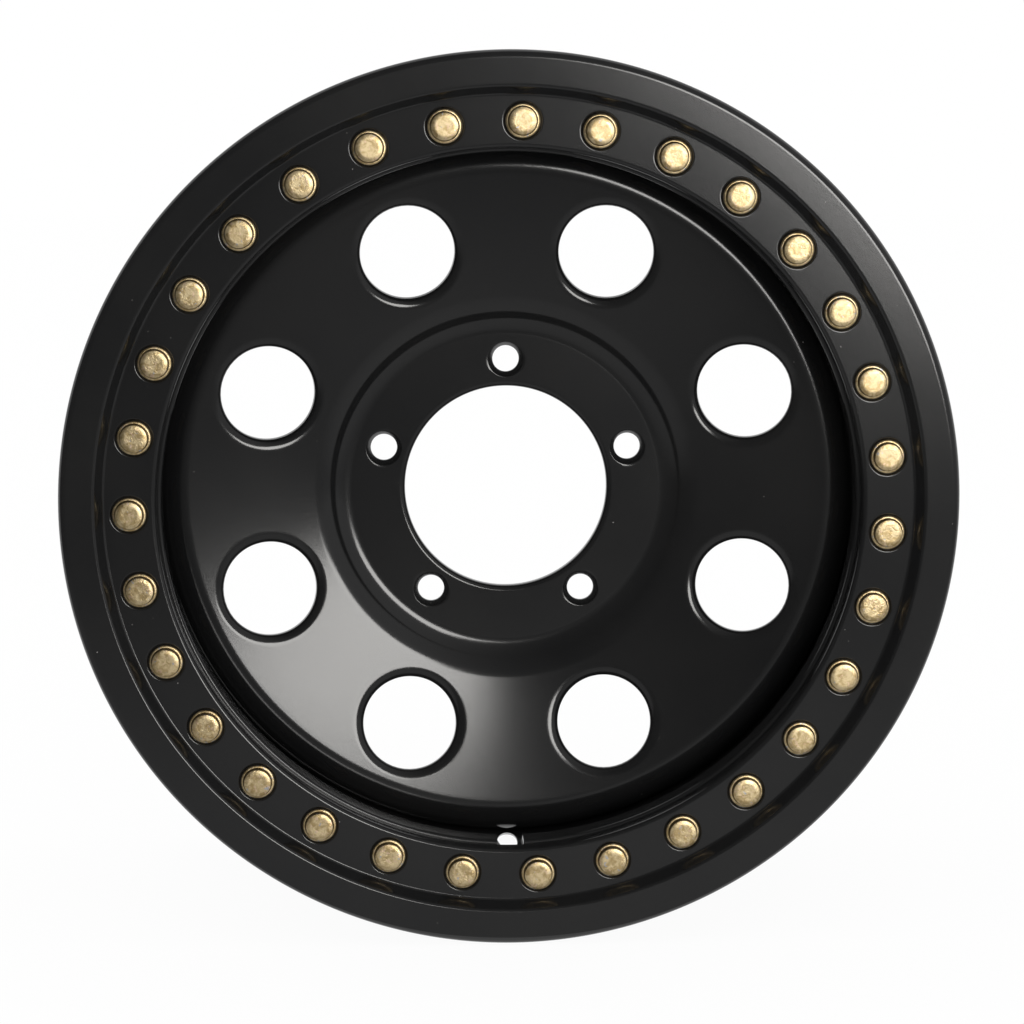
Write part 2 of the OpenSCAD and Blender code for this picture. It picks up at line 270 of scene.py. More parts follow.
# %% Clamp ring
BOLTS, ring_columns, ring_rows = 31, 12, 12
bolt_start = math.radians(7)
ring_start = bolt_start - math.pi / BOLTS
clamp_w, land_w, bolt_inset, register_inset = 50, 22.5, 36.1, 17.7
bolt_face_t, land_t, register_fit, lip_l = 10, 9.5, 0.05, 2
clamp_bore_r, step_foot_r = ring_r - clamp_w, ring_r - land_w
bolt_r, register_r = ring_r - bolt_inset, ring_r - register_inset
bolt_face_h, bead_h = joint_h + bolt_face_t, front_h - land_t
step_run, step_foot_edge, land_edge_r, outer_edge_r, bore_edge_r = 3.9, 1.6, 2.0, 4.0, 2.4
plain_edge, back_edge, lip_edge = 1.0, 0.8, 0.4
bolt_hole_r, hole_edge, pocket_r, pocket_floor_r, pocket_soft = 4.35, 0.3, 9.55, 9.2, 1.0
pocket_depth, pocket_corner = bolt_face_h - floor_h, 0.12
face_in_r, face_out_r = clamp_bore_r + bore_edge_r + 0.05, step_foot_r - 1.2

ring = Shell()
pocket = [(bolt_hole_r, bolt_face_t), (bolt_hole_r, pocket_depth + hole_edge),
          (bolt_hole_r + hole_edge, pocket_depth), (pocket_floor_r, pocket_depth),
          (pocket_r - pocket_corner, pocket_depth - pocket_corner)]
pocket += soft_rim(pocket_r, pocket_soft)
holed_band(ring, lambda r: bolt_face_h, face_in_r, face_out_r, bolt_r, BOLTS, bolt_start,
           pocket, ring_columns, ring_rows)
holed_band(ring, lambda r: joint_h, face_in_r, face_out_r, bolt_r, BOLTS, bolt_start,
           [(bolt_hole_r, 0)], ring_columns, ring_rows)
turned(ring, outline([
    (face_out_r, bolt_face_h, 0), (step_foot_r, bolt_face_h, step_foot_edge),
    (step_foot_r + step_run, front_h, land_edge_r), (ring_r, front_h, outer_edge_r),
    (ring_r, bead_h, plain_edge), (register_r + lip_l + register_fit, bead_h, lip_edge),
    (register_r + register_fit, bead_h - lip_l, lip_edge),
    (register_r + register_fit, joint_h, lip_edge), (face_out_r, joint_h, 0)]),
    BOLTS * ring_columns, ring_start)
turned(ring, outline([
    (face_in_r, joint_h, 0), (clamp_bore_r, joint_h, back_edge),
    (clamp_bore_r, bolt_face_h, bore_edge_r), (face_in_r, bolt_face_h, 0)]),
    BOLTS * ring_columns, ring_start)
clamp_ring = ring.piece("clamp_ring_body")

# %% [markdown]
# ## The inner lock ring
#
# The second ring is welded to the barrel and takes the bolts from the front.
# From outside only its lip shows, a thin line inside the clamp ring, broken at
# the bottom by the notch for the tyre's valve. The notch is milled out after
# turning, so a Boolean is the honest tool for it, as it is for the valve hole
# further on. The manifold solver gives the same mesh on every run.

# %% Cutting tool
def cut_out(target, cutter):
    """Takes the cutter's shape out of the target, and removes the cutter."""
    step = target.modifiers.new("cut", "BOOLEAN")
    step.operation, step.solver, step.object = "DIFFERENCE", "MANIFOLD", cutter
    graph = bpy.context.evaluated_depsgraph_get()
    made = bpy.data.meshes.new_from_object(target.evaluated_get(graph))
    target.modifiers.clear()
    old, name = target.data, target.data.name
    target.data = made
    bpy.data.meshes.remove(old)
    made.name = name
    bpy.data.objects.remove(cutter)
    made.polygons.foreach_set("use_smooth", [True] * len(made.polygons))
    made.set_sharp_from_angle(angle=SHARP)
    print(f"{target.name} cut: {len(made.polygons)} faces")


# %% Inner lock ring with its valve notch
web_t, lip_t, lip_h, wall_t, bore_step, lock_rows = 8, 6, 15.5, 8, 2, 8
web_fillet, corner_soft, lip_soft, lip_tip = 1.0, 2.0, 1.5, 0.8
foot_edge, lock_hole_edge, web_margin = 0.6, 0.25, 1.25
lock_bore_r, wall_in_r = clamp_bore_r - bore_step, register_r - wall_t
web_back_h, lip_end_h, flange_h = joint_h - web_t, joint_h - lip_h, bead_h - 19
lip_out_r = lock_bore_r + lip_t
web_in_r, web_out_r = lip_out_r + web_margin, wall_in_r - web_margin

lock = Shell()
entry = [(bolt_hole_r, web_t), (bolt_hole_r, lock_hole_edge), (bolt_hole_r + lock_hole_edge, 0)]
for height, rings in ((joint_h, entry), (web_back_h, [(bolt_hole_r, 0)])):
    holed_band(lock, lambda r, height=height: height, web_in_r, web_out_r, bolt_r, BOLTS,
               bolt_start, rings, ring_columns, lock_rows)
turned(lock, outline([
    (web_out_r, joint_h, 0), (register_r, joint_h, plain_edge), (register_r, flange_h, corner_soft),
    (ring_r, flange_h, lip_soft), (ring_r, lock_back_h, plain_edge),
    (wall_in_r, lock_back_h, foot_edge), (wall_in_r, web_back_h, web_fillet),
    (web_out_r, web_back_h, 0)]),
    BOLTS * ring_columns, ring_start)
turned(lock, outline([
    (web_in_r, web_back_h, 0), (lip_out_r, web_back_h, web_fillet), (lip_out_r, lip_end_h, lip_tip),
    (lock_bore_r, lip_end_h, lip_soft), (lock_bore_r, joint_h, lip_soft), (web_in_r, joint_h, 0)]),
    BOLTS * ring_columns, ring_start)
lock_ring = lock.piece("inner_lock_ring_body")

notch_w, notch_end_r, notch_steps, cut_over, cut_past = 14.0, lock_bore_r + 8, 24, 12, 3
notch = Shell()
sweep = [-math.pi / 2 + math.pi * i / notch_steps for i in range(notch_steps + 1)]
end = [(notch_w / 2 * math.sin(a), -notch_w / 2 * math.cos(a)) for a in sweep]
plan = [(x, -(notch_end_r - notch_w / 2) + z) for x, z in end] + [
    (notch_w / 2, -lock_bore_r + cut_over), (-notch_w / 2, -lock_bore_r + cut_over)]
levels = [[(x, -h, z) for x, z in plan] for h in (lip_end_h - cut_past, joint_h + cut_past)]
notch.grid(levels)
notch.cap(levels[0])
notch.cap(levels[1])
cut_out(lock_ring, notch.piece("notch_cutter"))

# %% [markdown]
# ## The barrel
#
# A barrel is rolled from sheet, so its wall has one thickness everywhere. It is
# enough to draw the middle line of the wall, round its bends, and set both
# faces off from it by half the thickness. The drop centre in the middle lets
# the tyre's bead fall in while it is levered on.

# %% Walls of even thickness
CAP_REACH = 3


def offset(line, distance):
    """A line moved sideways, to its left, by a distance."""
    moved = []
    for i, p in enumerate(line):
        a, b = Vector(line[max(i - 1, 0)]), Vector(line[min(i + 1, len(line) - 1)])
        d = (b - a).normalized()
        moved.append((p[0] - d.y * distance, p[1] + d.x * distance))
    return moved


def end_cap(line, thickness, edge):
    """The rounded end of a wall whose middle line ends here."""
    a, b = Vector(line[-2]), Vector(line[-1])
    d = (b - a).normalized()
    n = Vector((-d.y, d.x))
    half = thickness / 2
    first, second = b + n * half, b - n * half
    return corner_arc(first - d * CAP_REACH, first, second, edge) + \
        corner_arc(first, second, second - d * CAP_REACH, edge)


# %% Barrel
barrel_t, barrel_end_edge, barrel_columns = 3.8, 1.0, 288
seat_inset, well_depth, well_set, well_l, wall_rise = 16.7, 24.5, 31.5, 82, 10
ledge_drop, ledge_set, flange_set, flange_rise = 1.6, 20, 10.8, 17.3
bend, seat_bend, flange_bend = 8, 8.4, 9
seat_r = ring_r - seat_inset
barrel_mid_r = register_r - barrel_t
seat_mid_r = seat_r - barrel_t / 2
well_mid_r, ledge_mid_r = seat_r - well_depth - barrel_t / 2, seat_mid_r - ledge_drop
well_front_h = lock_back_h - well_set
well_rear_h = well_front_h - well_l
flange_mid_h, flange_mid_r = rear_h + flange_set, seat_mid_r + flange_rise
barrel_mid = outline([
    (barrel_mid_r, lock_back_h, 0), (barrel_mid_r, well_front_h + wall_rise, bend),
    (well_mid_r, well_front_h, bend), (well_mid_r, well_rear_h, bend),
    (ledge_mid_r, well_rear_h - ledge_set, bend), (seat_mid_r, flange_mid_h, seat_bend),
    (flange_mid_r, flange_mid_h, flange_bend), (flange_mid_r, rear_h, 0)])
left, right = offset(barrel_mid, barrel_t / 2), offset(barrel_mid, -barrel_t / 2)
rear_cap = [tuple(p) for p in end_cap(barrel_mid, barrel_t, barrel_end_edge)]
section = left[:-1] + rear_cap + right[-2::-1]
barrel = Shell()
turned(barrel, section + section[:1], barrel_columns)
rim_barrel = barrel.piece("rim_barrel_body")

# %% [markdown]
# ## The valve hole
#
# The hole is drilled square to the leaning wall of the drop centre. From the
# front it shows through the lock ring's notch as a small white half-moon, cut
# off by the clamp ring's bore.

# %% Valve hole
valve_hole_r, valve_set, drill_half_l, drill_columns = 5.65, 4.7, 9, 40
wall_angle = math.atan2(wall_rise, barrel_mid_r - well_mid_r)
valve_r = well_mid_r + valve_set
valve_h = well_front_h + valve_set * math.tan(wall_angle)
lean, stand = math.sin(wall_angle), math.cos(wall_angle)
drill = Shell()
levels = []
for depth in (-drill_half_l, drill_half_l):
    level = []
    for i in range(drill_columns):
        a = 2 * math.pi * i / drill_columns
        up_wall = valve_hole_r * math.cos(a)
        level.append((valve_hole_r * math.sin(a), -(valve_h + depth * stand + up_wall * lean),
                      -(valve_r - depth * lean + up_wall * stand)))
    levels.append(level)
drill.grid(levels)
drill.cap(levels[0])
drill.cap(levels[1])
cut_out(rim_barrel, drill.piece("valve_drill"))

# %% [markdown]
# ## The centre disc
#
# The disc is pressed from one sheet: a flat pad that bolts to the hub, a short
# wall, a dished face with eight windows, and a flange that is welded inside
# the barrel. The press rounds the windows' front edges by half the sheet's
# thickness, and that soft band round each window is what the eye reads first.

# %% Middle line and faces of the disc
disc_t, bore_r, line_start_r = 6.5, 55.05, 70
pad_r, wall_run, pad_sink, dish_angle = 90.5, 12, 9.3, math.radians(10.5)
pad_bend, foot_bend, shoulder_bend, pad_shift, foot_shift = 17, 15.5, 12.75, 0.7, 2.5
dish_in_r = pad_r + wall_run
disc_mid_r = disc_out_r - disc_t / 2
foot_r = dish_in_r - foot_shift


def dish_mid(r):
    """Height of the sheet's middle on the dished face."""
    return disc_t / 2 + pad_sink + (r - dish_in_r) * math.tan(dish_angle)


disc_mid = outline([
    (line_start_r, disc_t / 2, 0), (pad_r + pad_shift, disc_t / 2, pad_bend),
    (foot_r, dish_mid(foot_r), foot_bend), (disc_mid_r, dish_mid(disc_mid_r), shoulder_bend),
    (disc_mid_r, disc_end_h, 0)])
disc_front, disc_back = offset(disc_mid, disc_t / 2), offset(disc_mid, -disc_t / 2)
if disc_front[0][1] < disc_back[0][1]:
    disc_front, disc_back = disc_back, disc_front


def dish_front(r):
    """Height of the front face at a radius, read between its outline's points."""
    for (r1, h1), (r2, h2) in zip(disc_front, disc_front[1:]):
        if r1 <= r <= r2:
            return h1 + (h2 - h1) * (r - r1) / (r2 - r1)
    return disc_front[0][1]


def dish_back(r):
    """Height of the back face at a radius."""
    return dish_front(r) - disc_t / math.cos(dish_angle)


# %% Disc with windows, lug seats and bore
WINDOWS, LUGS = 8, 5
window_r, window_edge, window_soft, rim_steps, window_land = 25.4, 3.4, 5.4, 10, 10.5
window_mid = dish_in_r + window_land + window_r
window_start, lug_start = math.pi / WINDOWS, math.pi / 2
lug_mid, lug_r, seat_out_r, seat_angle = 69.85, 7.2, 9.6, math.radians(30)
seat_depth, seat_soft, hole_lead = (seat_out_r - lug_r) / math.tan(seat_angle), 0.1, 0.4
disc_columns, window_rows, lug_rows = 240, 18, 14
lug_in, lug_out, win_in, win_out = 58.35, 83.0, 105.6, 170.4
bore_front_edge, bore_back_edge, end_edge, seam = 3.0, 0.5, 0.8, 0.3

disc = Shell()
window = [(window_r, disc_t), (window_r, disc_t - hole_lead)] + soft_rim(
    window_r, window_soft, rim_steps, window_edge)
for rings in (window, [(window_r, disc_t)]):
    holed_band(disc, dish_front, win_in, win_out, window_mid, WINDOWS, window_start, rings,
               disc_columns // WINDOWS, window_rows, dish_angle)
lug = [(lug_r, disc_t), (lug_r, disc_t - 0.3), (lug_r, seat_depth + seat_soft),
       (lug_r + seat_soft, seat_depth - seat_soft), (seat_out_r - 0.25, 0.42),
       (seat_out_r - 0.02, 0.12), (seat_out_r + 0.3, 0)]
for height, rings in ((disc_t, lug), (0.0, [(lug_r, 0)])):
    holed_band(disc, lambda r, height=height: height, lug_in, lug_out, lug_mid, LUGS, lug_start,
               rings, disc_columns // LUGS, lug_rows)
turned(disc, outline([(lug_in, disc_t, 0), (bore_r, disc_t, bore_front_edge),
                      (bore_r, 0, bore_back_edge), (lug_in, 0, 0)]), disc_columns)
for side, pad_h, dish in ((disc_front, disc_t, dish_front), (disc_back, 0.0, dish_back)):
    inner = [p for p in side if lug_out + seam < p[0] < win_in - seam]
    turned(disc, [(lug_out, pad_h)] + inner + [(win_in, dish(win_in))], disc_columns)


def beyond(side):
    """The points of one face past the windows, up to the flange's end."""
    return [p for p in side if p[0] > win_out + seam][:-1]


shoulder = [(win_out, dish_front(win_out))] + beyond(disc_front)
inside = [(win_out, dish_back(win_out))] + beyond(disc_back)
edge = [tuple(p) for p in end_cap(disc_mid, disc_t, end_edge)]
if abs(edge[0][0] - shoulder[-1][0]) > abs(edge[-1][0] - shoulder[-1][0]):
    edge.reverse()
turned(disc, shoulder + edge + inside[::-1], disc_columns)
centre_disc = disc.piece("centre_disc_body")

# %% [markdown]
# ## Bolts and washers
#
# Each bolt has a low round cap with no drive on its outside: a flat top, a
# gentle cone that catches the lamp as a white crescent, and a steep skirt. The
# washer under it stands a little proud of the cap and reads as a bright ring.
# One bolt is drawn once as a section, and its copies are turned by a random
# amount about their own axes, since no two real bolts stop at the same angle.

# %% Turned pieces on the bolt circle
dice = random.Random(7)
stations = [bolt_start + 2 * math.pi * k / BOLTS for k in range(BOLTS)]


def station_point(station, rho, phi, h):
    """A point near one bolt, from its distance and bearing about the bolt's axis."""
    x, y = bolt_r + rho * math.cos(phi), rho * math.sin(phi)
    c, s = math.cos(station), math.sin(station)
    return (x * c - y * s, -h, x * s + y * c)


def round_pieces(name, section, columns, jitter=0.0):
    """Thirty-one turned pieces in one mesh, from a section of (radius, height)."""
    shell = Shell()
    for station in stations:
        spin = dice.uniform(0, 2 * math.pi)
        scale = 1 - dice.uniform(0, jitter)
        phis = [spin + 2 * math.pi * i / columns for i in range(columns)]
        rows = [[station_point(station, r * scale, p, h) for p in phis]
                for r, h in section if r > 0]
        shell.grid(rows)
        if section[0][0] == 0:
            shell.cap(rows[0])
            shell.cap(rows[-1])
    return shell.piece(name)


# %% Bolts
head_r, top_r, brow_r, brow_drop, cap_drop = 7.8, 5.3, 7.25, 0.4, 1.2
brow_bend, top_bend, flat_margin, skirt_h, skirt_lean = 0.7, 6.0, 1.2, 0.9, 0.1
bolt_half, pitch, thread_step, thread_depth, plain_l = 3.97, 1.27, 0.35, 0.62, 9
bolt_columns = 48
cap_front_h = head_front_h - cap_drop
middle, top = (0, cap_front_h), (top_r, cap_front_h)
brow, skirt = (brow_r, cap_front_h - brow_drop), (head_r - skirt_lean, washer_front_h + skirt_h)
cap = corner_arc(middle, top, brow, top_bend) + corner_arc(top, brow, skirt, brow_bend)
ridges = []
h = washer_front_h
while h > tip_h + 4 * pitch:
    h -= pitch
    if h < washer_front_h - plain_l:
        ridges += [(bolt_half, h + thread_step), (bolt_half - thread_depth, h)]
point = [(bolt_half, tip_h + 2.4), (bolt_half - 0.6, tip_h + 1.8), (bolt_half, tip_h + 1.2),
         (bolt_half - 0.25, tip_h + 0.75), (bolt_half - 1.0, tip_h), (0, tip_h)]
head = [middle, (top_r - flat_margin, cap_front_h)] + [tuple(p) for p in cap] + [
    skirt, (head_r, washer_front_h + 0.5), (head_r - 0.3, washer_front_h),
    (bolt_half, washer_front_h)]
clamp_bolts = round_pieces("clamp_bolts_turned", head + ridges + point, bolt_columns)

# %% Washers in front and behind
washer_r, washer_t, washer_hole = 8.9, 1.6, 4.35
bolt_washer_columns, nut_washer_columns = 48, 36


def washer(front):
    """Closed section of a stamped washer, rounded more on its front."""
    back = front - washer_t
    return [(washer_hole, back + 0.2), (washer_hole, front - 0.2), (washer_hole + 0.2, front),
            (washer_r - 0.95, front), (washer_r - 0.6, front - 0.05),
            (washer_r - 0.3, front - 0.18), (washer_r - 0.1, front - 0.4),
            (washer_r, front - 0.7), (washer_r, back + 0.3),
            (washer_r - 0.25, back), (washer_hole + 0.2, back), (washer_hole, back + 0.2)]


bolt_washers = round_pieces("bolt_washers_turned", washer(washer_front_h), bolt_washer_columns)
nut_washers = round_pieces("nut_washers_turned", washer(web_back_h), nut_washer_columns)

# %% [markdown]
# ## Lock nuts
#
# A hexagon nut is a hexagon that has been turned in a lathe: where its corners
# would stand past a cone they are cut back, which leaves the curved chamfers on
# the six flats. Taking the smaller of the two radii at each point gives just
# that shape, with no Boolean. The collar behind holds the locking insert.

# %% Lock nuts
nut_af, nut_h, nut_columns = 12.7, 8, 72
collar_h = nut_h * 0.22
face_cone, hole_r, hole_sink = 6.15, 4.02, 0.1


def nut_radius(phi, cone):
    """Radius of a hexagon at a bearing, cut back to a cone."""
    part = (phi + math.pi / 6) % (math.pi / 3) - math.pi / 6
    return min(nut_af / 2 / math.cos(part), cone)


nuts = Shell()
bearings = [2 * math.pi * i / nut_columns for i in range(nut_columns)]
hex_end_h = nut_front_h - (nut_h - collar_h)
levels = [(nut_front_h, face_cone), (nut_front_h - 0.25, 6.55), (nut_front_h - 0.6, 7.4),
          (hex_end_h + 0.7, 7.4), (hex_end_h + 0.3, 6.7), (hex_end_h, 6.2)]
collar = [(hex_end_h - 0.05, 6.0), (hex_end_h - 0.9, 5.85), (nut_end_h + 0.35, 5.6),
          (nut_end_h + 0.1, 5.4), (nut_end_h, 5.1), (nut_end_h, 4.6), (nut_end_h + 0.25, 4.05)]
for station in stations:
    spin = dice.uniform(0, math.pi / 3)
    rows = [[station_point(station, nut_radius(b, cone), b + spin, h) for b in bearings]
            for h, cone in levels]
    rows += [[station_point(station, r, b + spin, h) for b in bearings] for h, r in collar]
    rows.append([station_point(station, hole_r, b + spin, nut_front_h - hole_sink)
                 for b in bearings])
    rows.append([station_point(station, nut_radius(b, face_cone), b + spin, nut_front_h)
                 for b in bearings])
    nuts.grid(rows)
lock_nuts = nuts.piece("lock_nuts_hex")

# %% [markdown]
# ## Weld beads
#
# A weld bead is a row of frozen ripples, each a crescent that bows towards the
# finished end. The wave is made by bending the phase of a sine: points near
# the middle of the bead run ahead of its edges. The bead between the ring and
# the barrel goes all the way round, and the disc is held by eight stitches.

# %% Rippled beads
LEG, ACROSS = 5, 10
BULGE, BOW = 0.16, 2.2
SINK, RIPPLE_DEPTH = 0.05, 0.10
END_SIZE, END_GROWTH = 0.12, 9
WELD_SHARP = math.radians(60)


def bead_rows(root, leg_r, leg_h, angles, ripples, ends=False):
    """Grid rows of a bead at a root corner, with legs along r and h."""
    rows = []
    for i in range(ACROSS + 1):
        u = i / ACROSS
        bulge = 4 * u * (1 - u)
        row = []
        for j, a in enumerate(angles):
            along = j / (len(angles) - 1)
            near_end = END_SIZE + END_GROWTH * min(along, 1 - along)
            taper = min(1, near_end) ** 0.5 if ends else 1
            wave = 0.5 + 0.5 * math.cos(ripples * (a - angles[0]) - BOW * bulge)
            size = taper * (1 - bulge * (SINK + RIPPLE_DEPTH * wave ** 2))
            r = root[0] + leg_r * (1 - u) * size + leg_r * BULGE * bulge * size
            h = root[1] + leg_h * u * size + leg_h * BULGE * bulge * size
            row.append(place(r, h, a))
        rows.append(row)
    return rows


ring_ripples, ring_weld_columns, barrel_gap = 360, 1440, 0.05
weld_root = (seat_r - 1 - barrel_t / 2 + barrel_gap, lock_back_h)
weld_angles = [2 * math.pi * j / ring_weld_columns for j in range(ring_weld_columns)]
weld = Shell()
rows = bead_rows(weld_root, LEG, -LEG, weld_angles, ring_ripples)
rows.append([place(*weld_root, a) for a in weld_angles])
weld.grid(rows + rows[:1])
ring_weld = weld.piece("ring_weld_bead", WELD_SHARP)

# %% Stitches inside the barrel
STITCHES, stitch_columns, stitch_ripples = 8, 96, 330
stitch = math.radians(26)
root = (disc_out_r, disc_end_h)
stitches = Shell()
for k in range(STITCHES):
    middle = (k + 0.5) * 2 * math.pi / STITCHES
    angles = [middle - stitch / 2 + stitch * j / stitch_columns for j in range(stitch_columns + 1)]
    rows = bead_rows(root, -LEG, -LEG, angles, stitch_ripples, ends=True)
    rows.append([place(*root, a) for a in angles])
    stitches.grid(rows + rows[:1], wrap=False)
    for j in (0, -1):
        stitches.cap([row[j] for row in rows])
disc_welds = stitches.piece("disc_weld_stitches", WELD_SHARP)

# %% [markdown]
# ## Writing shader maths as maths
#
# A material is a small program, and a web of Math nodes hides what it says. The
# class below wraps one socket and gives it the usual operators, so that a mask
# can be written as an expression. Colours and vectors need their own nodes, as
# a Math node would turn them grey.

# %% Sockets with operators
class Wire:
    """A node's output that can be added, multiplied and mixed."""

    def __init__(self, finish, socket):
        self.finish, self.socket = finish, socket

    def _with(self, operation, other, swap=False):
        wide = any(isinstance(w, Wire) and w.socket.type in ("VECTOR", "RGBA")
                   for w in (self, other))
        first, second = (other, self) if swap else (self, other)
        kind = "ShaderNodeVectorMath" if wide else "ShaderNodeMath"
        return self.finish.node(kind, {"operation": operation}, {0: first, 1: second})

    def __add__(self, other):
        return self._with("ADD", other)

    def __radd__(self, other):
        return self._with("ADD", other, True)

    def __sub__(self, other):
        return self._with("SUBTRACT", other)

    def __rsub__(self, other):
        return self._with("SUBTRACT", other, True)

    def __mul__(self, other):
        return self._with("MULTIPLY", other)

    def __rmul__(self, other):
        return self._with("MULTIPLY", other, True)

    def between(self, low, high):
        """0 below low, 1 above high, and smooth between."""
        return self.finish.node("ShaderNodeMapRange", {"interpolation_type": "SMOOTHSTEP"},
                                {"Value": self, "From Min": low, "From Max": high})

    def mix(self, one, two):
        """Colour one where this is 0, and colour two where it is 1."""
        return self.finish.node("ShaderNodeMix", {"data_type": "RGBA"},
                                {0: self, 6: one, 7: two}, out=2)


class Finish:
    """A node material that is written as expressions."""

    def __init__(self, name):
        self.material = bpy.data.materials.new(name)
        self.material.use_nodes = True
        self.tree = self.material.node_tree
        self.tree.nodes.clear()

    def node(self, kind, settings=None, inputs=None, out=0):
        made = self.tree.nodes.new(kind)
        for key, value in (settings or {}).items():
            setattr(made, key, value)
        for key, value in (inputs or {}).items():
            if isinstance(value, Wire):
                self.tree.links.new(value.socket, made.inputs[key])
            elif isinstance(value, tuple) and len(value) == 3 and made.inputs[key].type == "RGBA":
                made.inputs[key].default_value = (*value, 1)
            else:
                made.inputs[key].default_value = value
        return Wire(self, made.outputs[out]) if len(made.outputs) else None

    def noise(self, where, scale, detail=2.0, roughness=0.5, distortion=0.0):
        return self.node("ShaderNodeTexNoise", {}, {
            "Vector": where, "Scale": scale, "Detail": detail,
            "Roughness": roughness, "Distortion": distortion})

    def show(self, shader):
        self.node("ShaderNodeOutputMaterial", {}, {"Surface": shader})
        print(f"{self.material.name}: {len(self.tree.nodes)} nodes")
        return self.material


# %% [markdown]
# ## Black powder coat
#
# Powder coat is a thick plastic film that flowed in an oven. It has a fine
# grain a little under a millimetre across, soft enough that the reflection of
# a large lamp stays whole but has a fuzzy edge. Colour hardly varies, so the
# grain and a slow change of gloss carry the look. A few dust specks sit on it.

# %% Powder coat
OBJECT_SPACE = 3
DEEP_BLACK, PALE_BLACK, DUST = (0.0066, 0.0067, 0.0070), (0.0094, 0.0093, 0.0092), (0.20, 0.19, 0.18)


def powder_coat(name, grain_depth, gloss):
    """Black plastic film with a fine grain, slow clouds of gloss and a few dust specks."""
    coat = Finish(name)
    where = coat.node("ShaderNodeTexCoord", out=OBJECT_SPACE)
    grain = coat.noise(where, 1100, 3, 0.6)
    swell = coat.noise(where, 260, 2, 0.5)
    cloud = coat.noise(where, 9, 4, 0.55)
    speck = coat.noise(where, 620, 0.5, 0.4).between(0.865, 0.885)
    colour = speck.mix(cloud.between(0.3, 0.75).mix(DEEP_BLACK, PALE_BLACK), DUST)
    dull = gloss + cloud * 0.05 + grain * 0.07 + speck * 0.3
    bumps = coat.node("ShaderNodeBump", {}, {
        "Strength": 0.35, "Distance": grain_depth, "Height": grain + swell * 0.8})
    return coat.show(coat.node("ShaderNodeBsdfPrincipled", {}, {
        "Base Color": colour, "Roughness": dull, "Normal": bumps}))


GRAIN_DEPTH = 0.02 * MM
powder = powder_coat("powder_coat_black", GRAIN_DEPTH, gloss=0.075)
weld_coat = powder_coat("powder_coat_on_weld", GRAIN_DEPTH, gloss=0.10)

# %% [markdown]
# ## Yellow zinc plate
#
# The bolts are zinc plated and dipped in a yellow passivate. The film is only
# a few wavelengths thick, so it stains the metal straw yellow with small
# patches that run to blue grey and pink. Under it the pressed steel is not
# smooth: the tops are dented and scuffed, and so their reflections break up.

# %% Yellow zinc
DARK_STRAW, PALE_STRAW = (0.46, 0.335, 0.16), (0.74, 0.60, 0.36)
BLUE_STAIN, PINK_STAIN = (0.42, 0.45, 0.52), (0.78, 0.56, 0.43)
DENT_DEPTH = 0.22 * MM


def yellow_zinc(name, wear):
    """Plated steel with straw, blue and pink stains, and dents that follow the wear."""
    zinc = Finish(name)
    where = zinc.node("ShaderNodeTexCoord", out=OBJECT_SPACE)
    stain = zinc.noise(where, 330, 3, 0.6, 0.8)
    dents = zinc.noise(where, 520, 2, 0.55, 1.4)
    slow = zinc.noise(where, 24, 2, 0.5)
    fine = zinc.noise(where, 1900, 2, 0.6)
    straw = stain.between(0.32, 0.66).mix(DARK_STRAW, PALE_STRAW)
    blue = zinc.noise(where, 410, 1.5, 0.5, 0.6).between(0.655, 0.72)
    pink = zinc.noise(where, 470, 1.5, 0.5, 0.9).between(0.60, 0.68)
    colour = (pink * 0.5).mix((blue * 0.75).mix(straw, BLUE_STAIN), PINK_STAIN)
    relief = dents * slow.between(0.35, 0.6) * wear + fine * 0.06
    bumps = zinc.node("ShaderNodeBump", {}, {
        "Strength": 0.55, "Distance": DENT_DEPTH, "Height": relief})
    return zinc.show(zinc.node("ShaderNodeBsdfPrincipled", {}, {
        "Base Color": colour, "Metallic": 1.0, "Roughness": 0.29 + stain * 0.13 + fine * 0.05,
        "Normal": bumps}))


bolt_zinc = yellow_zinc("yellow_zinc_bolts", wear=1.0)
nut_zinc = yellow_zinc("yellow_zinc_nuts", wear=0.5)

# %% [markdown]
# ## Hand every piece to the frame
# Each new piece stands for one CAD node and rides on the wheel's only body. The
# slot says which finish of the record it takes, so a scene can repaint it.

# %% Pieces, finishes and the nodes that they stand for
wheel = [
    (clamp_ring, "clamp_ring", "powder_coat", powder),
    (lock_ring, "inner_lock_ring", "powder_coat", powder),
    (rim_barrel, "rim_barrel", "powder_coat", powder),
    (centre_disc, "centre_disc", "powder_coat", powder),
    (ring_weld, "ring_weld", "coated_weld", weld_coat),
    (disc_welds, "disc_welds", "coated_weld", weld_coat),
    (clamp_bolts, "clamp_bolts", "plated_steel", bolt_zinc),
    (bolt_washers, "bolt_washers", "plated_steel", bolt_zinc),
    (nut_washers, "nut_washers", "plated_steel", nut_zinc),
    (lock_nuts, "lock_nuts", "plated_steel", nut_zinc),
]
for made, node, slot_name, material in wheel:
    made.data.materials.clear()
    made.data.materials.append(material)
    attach(made, "root")
    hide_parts(node)
print(len(wheel), "pieces ride on the wheel")

# %% [markdown]
# ## Studio
#
# The photograph was taken against pure white. The world is plain white light,
# and the floor adds just enough of its own white to stay so, while the wheel
# still shades it. A black object shows what stands before it, so a dark tent
# round and behind the camera keeps its face dark, as photographers do. One
# soft lamp, high and to the right, makes the bright patch on the dish.

# %% World and floor
world = bpy.data.worlds.new("white_studio")
bpy.context.scene.world = world
world.use_nodes = True
world.node_tree.nodes["Background"].inputs["Color"].default_value = (1, 1, 1, 1)
world.node_tree.nodes["Background"].inputs["Strength"].default_value = 1.0

